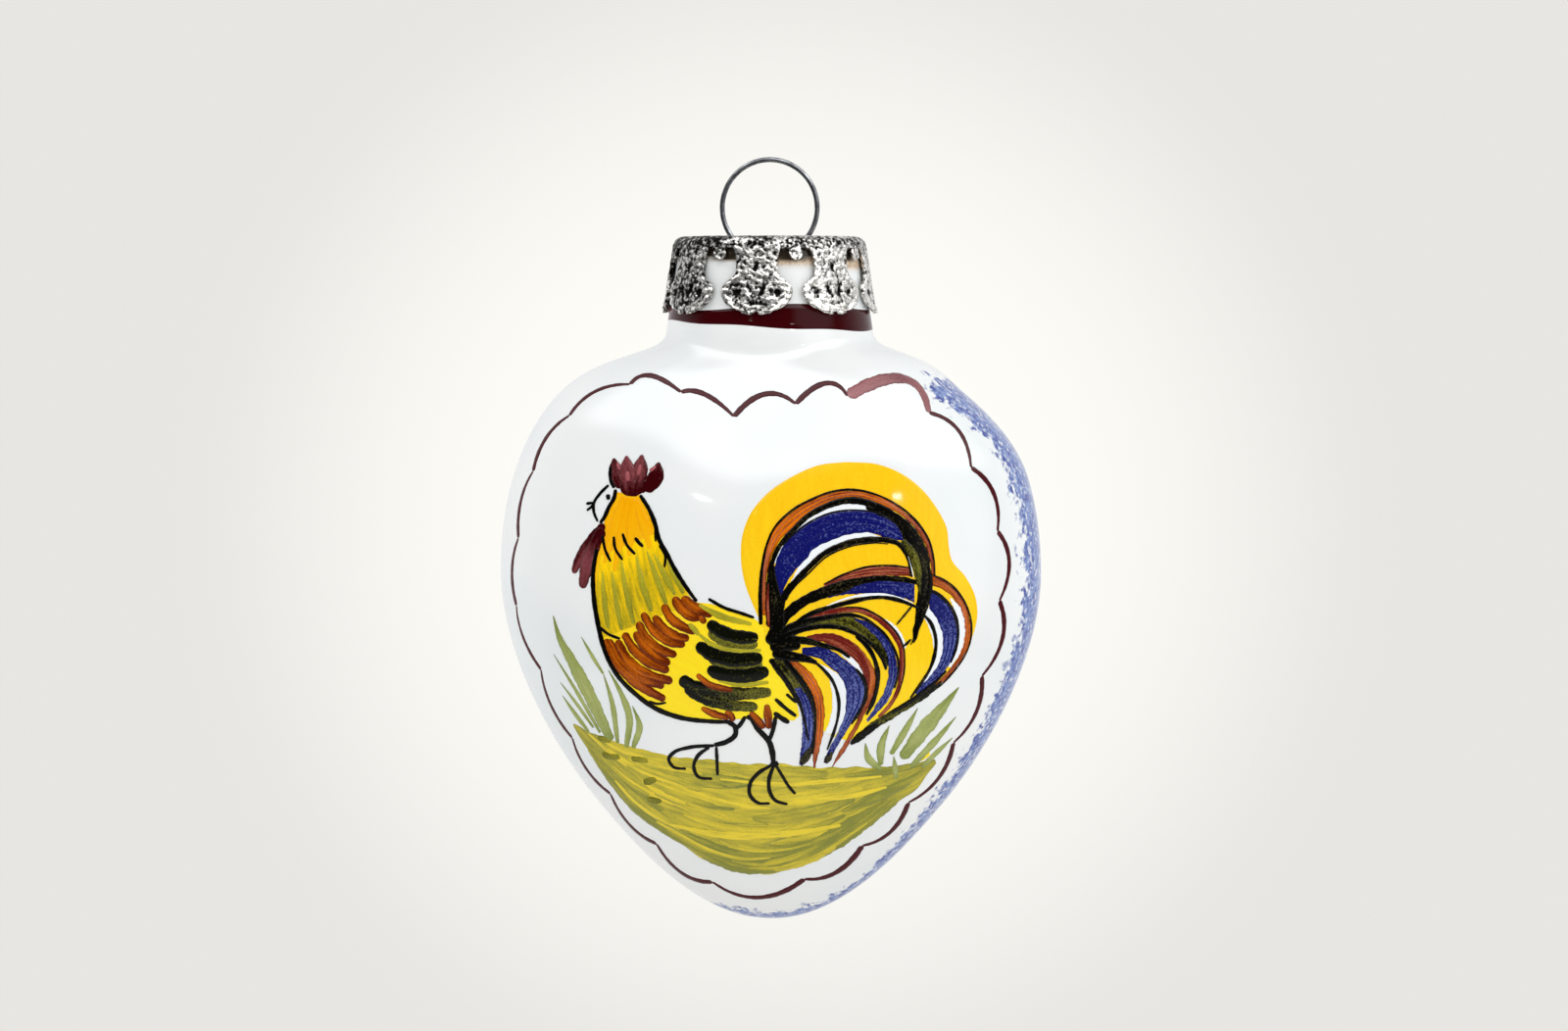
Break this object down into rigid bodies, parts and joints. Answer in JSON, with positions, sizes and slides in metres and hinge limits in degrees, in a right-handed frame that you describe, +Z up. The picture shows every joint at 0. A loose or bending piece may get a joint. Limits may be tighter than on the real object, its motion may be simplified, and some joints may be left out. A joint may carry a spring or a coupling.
{
  "type": "hanging faience ornament",
  "caption": "Puffed heart ornament of painted faience with a rooster, hung by a wire loop through a pierced antique-silver cap.",
  "frame": {"origin": "inside of the wire loop at its top, where a hook bears", "axes": "+Z up along the neck, -Y out of the painted face, +X to the right of someone who looks at that face"},
  "size_m": [0.064, 0.0386, 0.0903],
  "materials": {
    "glazed_faience": "opaque white tin glaze, glossy, hand painted",
    "antique_silver": "silver plate, granular and oxidised in the recesses",
    "spring_wire": "drawn wire, darkened"
  },
  "bodies": {
    "hanger": {"wire_hanger": "spring_wire"},
    "cap": {"filigree_cap": "antique_silver"},
    "vase": {"faience_body": "glazed_faience"}
  },
  "joints": [
    {"name": "cap_slide", "type": "slide", "parent": "hanger", "child": "cap", "axis": [0, 0, -1], "range_m": [-0.0005, 0.003]},
    {"name": "vase_pull_off", "type": "slide", "parent": "cap", "child": "vase", "axis": [0, 0, -1], "range_m": [0, 0.016]}
  ]
}
